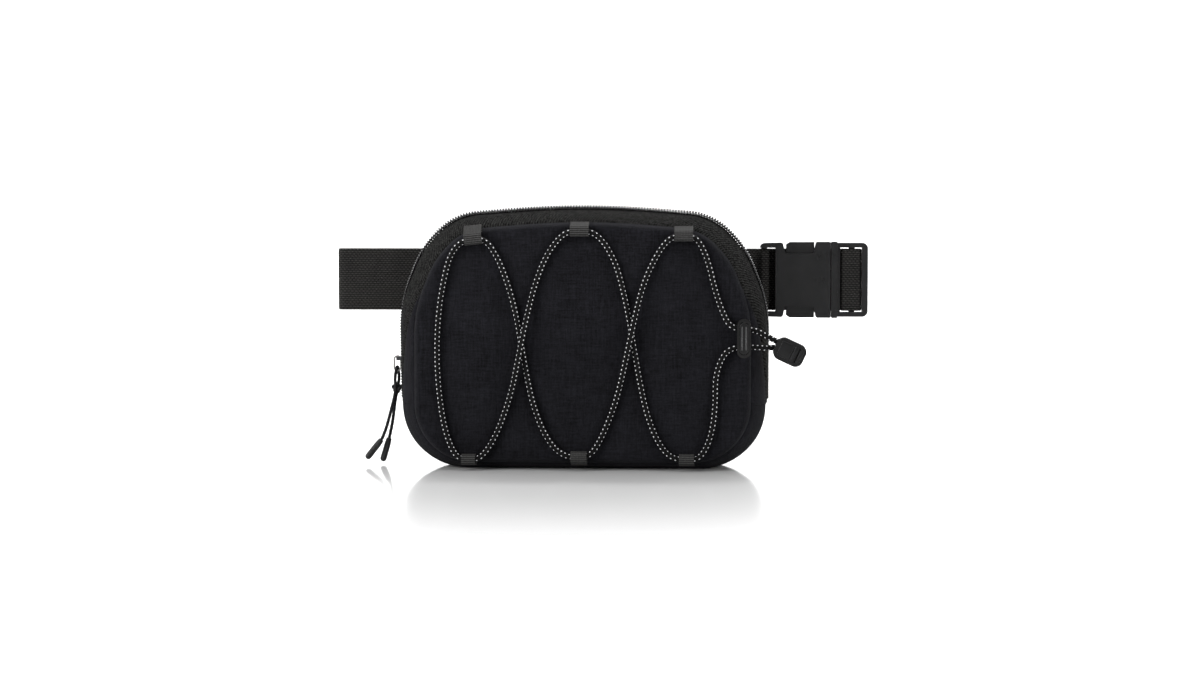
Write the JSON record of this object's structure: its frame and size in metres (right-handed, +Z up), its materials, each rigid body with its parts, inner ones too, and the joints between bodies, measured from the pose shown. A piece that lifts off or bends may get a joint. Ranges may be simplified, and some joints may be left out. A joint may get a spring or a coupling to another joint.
{
  "type": "waist bag",
  "caption": "Arched zip waist bag with elastic cord laced over its padded front, a cord lock, a webbing belt and a side release buckle.",
  "frame": {"origin": "bottom centre of the bag, on the surface that it stands on", "axes": "+X to the right seen from the front, +Y from the front towards the wearer, +Z up"},
  "size_m": [0.3265, 0.0762, 0.1564],
  "materials": {
    "shell_fabric": "matte woven",
    "zip_tape": "woven twill",
    "zip_coil": "glossy",
    "foam": null,
    "lining": "plain woven",
    "binding": "ribbed elastic",
    "loop_tape": "grosgrain",
    "elastic_cord": "braided with light tracer",
    "pull_cord": "braided",
    "belt_webbing": "woven webbing",
    "buckle_plastic": "satin",
    "lock_plastic": "satin",
    "tip_rubber": "matte moulded",
    "slider_metal": "gloss black",
    "ring_metal": "polished",
    "spring_steel": "drawn wire"
  },
  "bodies": {
    "bag": {"front_panel_lower": "shell_fabric", "bottom_gusset": "shell_fabric", "rear_gusset": "shell_fabric", "zip_tape_rear": "zip_tape", "zip_coil_rear": "zip_coil", "zip_stop_left": "slider_metal", "zip_stop_right": "slider_metal", "back_panel": "shell_fabric", "back_foam": "foam", "lining_back": "lining", "lining_gusset": "lining", "inner_pocket": "lining", "pocket_binding": "binding", "cord_loop_bottom_left": "loop_tape", "cord_loop_bottom_centre": "loop_tape", "cord_loop_bottom_right": "loop_tape", "belt_webbing": "belt_webbing", "buckle_webbing": "belt_webbing", "belt_keeper_left": "binding", "belt_keeper_right": "binding", "buckle_female": "buckle_plastic"},
    "front_flap": {"front_panel_upper": "shell_fabric", "front_foam": "foam", "lining_front": "lining", "side_wedge_left": "shell_fabric", "side_wedge_right": "shell_fabric", "zip_tape_front": "zip_tape", "zip_coil_front": "zip_coil", "cord_loop_top_left": "loop_tape", "cord_loop_top_centre": "loop_tape", "cord_loop_top_right": "loop_tape", "shock_cord": "elastic_cord", "cord_end_shell": "lock_plastic", "cord_end_cap": "lock_plastic"},
    "cord_lock": {"cord_lock_body": "lock_plastic", "cord_lock_spring": "spring_steel"},
    "lock_button": {"cord_lock_button": "lock_plastic"},
    "zip_slider": {"zip_slider_body": "slider_metal", "zip_slider_crown": "slider_metal"},
    "zip_ring": {"zip_puller_ring": "ring_metal"},
    "pull_cord": {"pull_cord": "pull_cord", "pull_cord_knot": "pull_cord", "cord_tip_front": "tip_rubber", "cord_tip_back": "tip_rubber"},
    "buckle_male": {"buckle_male": "buckle_plastic"},
    "arm_upper": {"release_arm_upper": "buckle_plastic"},
    "arm_lower": {"release_arm_lower": "buckle_plastic"}
  },
  "joints": [
    {"name": "front_opening", "type": "hinge", "parent": "bag", "child": "front_flap", "pos_m": [0, -0.029, 0.038], "axis": [1, 0, 0], "range_deg": [0, 30], "deforming": ["shock_cord"]},
    {"name": "cord_lock_slide", "type": "slide", "parent": "front_flap", "child": "cord_lock", "axis": [1, 0, 0], "range_m": [0, 0.005], "deforming": ["shock_cord"]},
    {"name": "lock_button_press", "type": "slide", "parent": "cord_lock", "child": "lock_button", "axis": [0, 1, 0], "range_m": [0, 0.0012], "stiffness_N_per_m": 400, "deforming": ["cord_lock_spring"]},
    {"name": "zip_slide", "type": "slide", "parent": "bag", "child": "zip_slider", "axis": [0, -0.1093, 0.994], "range_m": [0, 0.016]},
    {"name": "zip_ring_lift", "type": "hinge", "parent": "zip_slider", "child": "zip_ring", "pos_m": [-0.113, -0.00242, 0.06475], "axis": [0, 1, 0], "range_deg": [0, 100]},
    {"name": "pull_cord_swing", "type": "hinge", "parent": "zip_ring", "child": "pull_cord", "pos_m": [-0.1134, -0.00242, 0.0575], "axis": [1, 0, 0], "range_deg": [-45, 45]},
    {"name": "buckle_release", "type": "slide", "parent": "bag", "child": "buckle_male", "axis": [1, 0, 0], "range_m": [0, 0.032], "deforming": ["belt_webbing", "release_arm_upper", "release_arm_lower"]},
    {"name": "arm_upper_press", "type": "hinge", "parent": "buckle_male", "child": "arm_upper", "pos_m": [0.1492, 0.0273, 0.1285], "axis": [0, 1, 0], "range_deg": [-6, 0], "stiffness_Nm_per_rad": 0.5},
    {"name": "arm_lower_press", "type": "hinge", "parent": "buckle_male", "child": "arm_lower", "pos_m": [0.1492, 0.0273, 0.0955], "axis": [0, 1, 0], "range_deg": [0, 6], "stiffness_Nm_per_rad": 0.5}
  ],
  "couplings": [
    {"joint": "arm_lower_press", "follows": "arm_upper_press", "ratio": -1}
  ]
}
